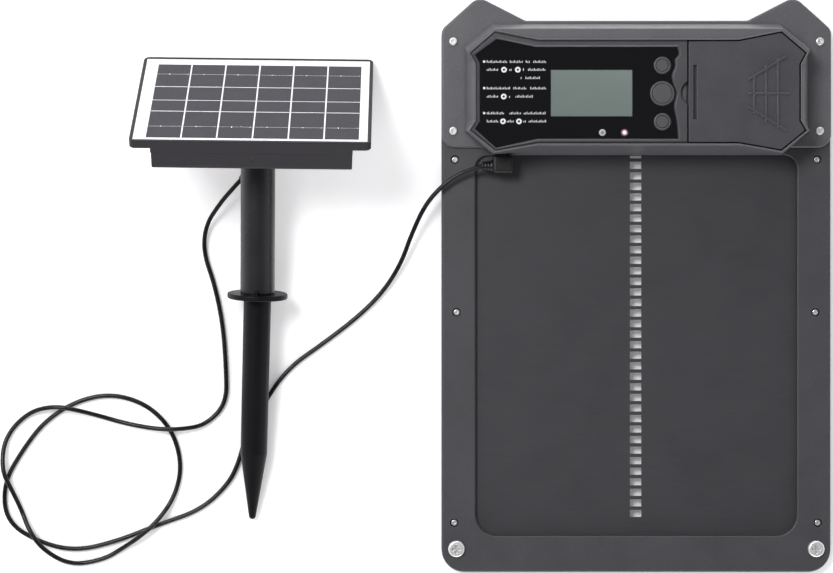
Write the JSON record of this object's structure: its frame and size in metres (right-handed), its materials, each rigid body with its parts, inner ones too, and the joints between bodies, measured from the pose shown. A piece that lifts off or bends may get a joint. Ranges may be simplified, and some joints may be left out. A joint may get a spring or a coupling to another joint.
{
  "type": "automatic coop door",
  "caption": "Sliding automatic coop door with a geared drive, control housing and battery bay, wired to a tilting solar panel on a ground stake.",
  "frame": {"origin": "middle of the door frame's wall face", "axes": "+X to the door's right seen from the front, +Y towards the top of the door, +Z out of its front"},
  "size_m": [0.5666, 0.3898, 0.098],
  "materials": {
    "housing_abs": "fine spark-eroded grain",
    "insert_abs": "fine spark-eroded grain, smoother than the housing",
    "spike_abs": "satin black, low shine",
    "frame_abs": "fine spark-eroded grain",
    "door_aluminium": "dark anodised, fine brushed",
    "black_acrylic": "gloss black, back-printed",
    "lcd": "grey-green display glass",
    "button_abs": "satin",
    "lens_clear": "silvered round lens",
    "lens_red": "lit lens",
    "screw_steel": "bright zinc",
    "black_abs": "satin black",
    "head_abs": "satin dark grey",
    "pvc": "soft satin pvc",
    "white_board": "glossy white board",
    "silicon": "blue-violet silicon under film",
    "tin": "tinned strip",
    "rubber_seal": "matt",
    "motor_steel": "plain",
    "brass": "turned",
    "pcb": "solder resist",
    "acetal": "natural",
    "cell_wrap": "shrink sleeve"
  },
  "bodies": {
    "root": {"rear_frame": "frame_abs", "front_frame": "frame_abs", "guide_liners": "acetal", "bottom_stop": "rubber_seal", "doorway_seal": "rubber_seal", "gearbox": "motor_steel", "gear_motor": "motor_steel", "motor_bracket": "screw_steel", "shaft_bush": "brass", "motor_screws": "screw_steel", "control_housing": "housing_abs", "housing_gasket": "rubber_seal", "fascia_bezel": "insert_abs", "display_window": "black_acrylic", "lcd_module": "lcd", "tact_switches": "black_abs", "circuit_board": "pcb", "board_screws": "screw_steel", "dc_jack": "black_abs", "battery_tray": "black_abs", "battery_cells": "cell_wrap", "battery_contacts": "tin", "battery_springs": "tin", "cover_screws": "screw_steel", "frame_screws": "screw_steel", "wall_screws": "screw_steel", "plug_body": "pvc", "plug_relief": "pvc", "plug_barrel": "tin", "pole_fork": "black_abs", "pole_tube": "black_abs", "pole_grommet": "rubber_seal", "ground_spike": "spike_abs", "solar_cord": "pvc", "light_sensor": "lens_clear", "status_led": "lens_red"},
    "door": {"door_panel": "door_aluminium"},
    "drive": {"drive_pinion": "acetal", "drive_shaft": "motor_steel"},
    "up_key": {"up_button": "button_abs"},
    "set_key": {"set_button": "button_abs"},
    "down_key": {"down_button": "button_abs"},
    "battery_lid": {"battery_cover": "insert_abs"},
    "solar_head": {"panel_frame": "head_abs", "solar_laminate": "white_board", "solar_cells": "silicon", "cell_busbars": "tin", "panel_housing": "head_abs", "panel_screws": "screw_steel", "socket_bung": "rubber_seal", "tilt_lug": "black_abs"},
    "clamp": {"pivot_bolt": "screw_steel", "pivot_knob": "black_abs"}
  },
  "joints": [
    {"name": "door_lift", "type": "slide", "parent": "root", "child": "door", "axis": [0, 1, 0], "range_m": [0, 0.26]},
    {"name": "pinion_spin", "type": "hinge", "parent": "root", "child": "drive", "pos_m": [0, 0.1259, 0.02035], "axis": [1, 0, 0], "range_deg": [0, 1090]},
    {"name": "up_press", "type": "slide", "parent": "root", "child": "up_key", "axis": [0, 0, -1], "range_m": [0, 0.001], "stiffness_N_per_m": 900, "springref_m": -0.0006},
    {"name": "set_press", "type": "slide", "parent": "root", "child": "set_key", "axis": [0, 0, -1], "range_m": [0, 0.001], "stiffness_N_per_m": 900, "springref_m": -0.0006},
    {"name": "down_press", "type": "slide", "parent": "root", "child": "down_key", "axis": [0, 0, -1], "range_m": [0, 0.001], "stiffness_N_per_m": 900, "springref_m": -0.0006},
    {"name": "lid_swing", "type": "hinge", "parent": "root", "child": "battery_lid", "pos_m": [0.109, 0.129, 0.0425], "axis": [0, 1, 0], "range_deg": [0, 70]},
    {"name": "head_tilt", "type": "hinge", "parent": "root", "child": "solar_head", "pos_m": [-0.25576, 0.09453, 0.03643], "axis": [0.9999, -0.011, -0.0087], "range_deg": [0, 55]},
    {"name": "clamp_turn", "type": "hinge", "parent": "root", "child": "clamp", "pos_m": [-0.25576, 0.09453, 0.03643], "axis": [0.9999, -0.011, -0.0087], "range_deg": [0, 180]}
  ],
  "couplings": [
    {"joint": "pinion_spin", "follows": "door_lift", "rad_per_m": 72.722}
  ]
}
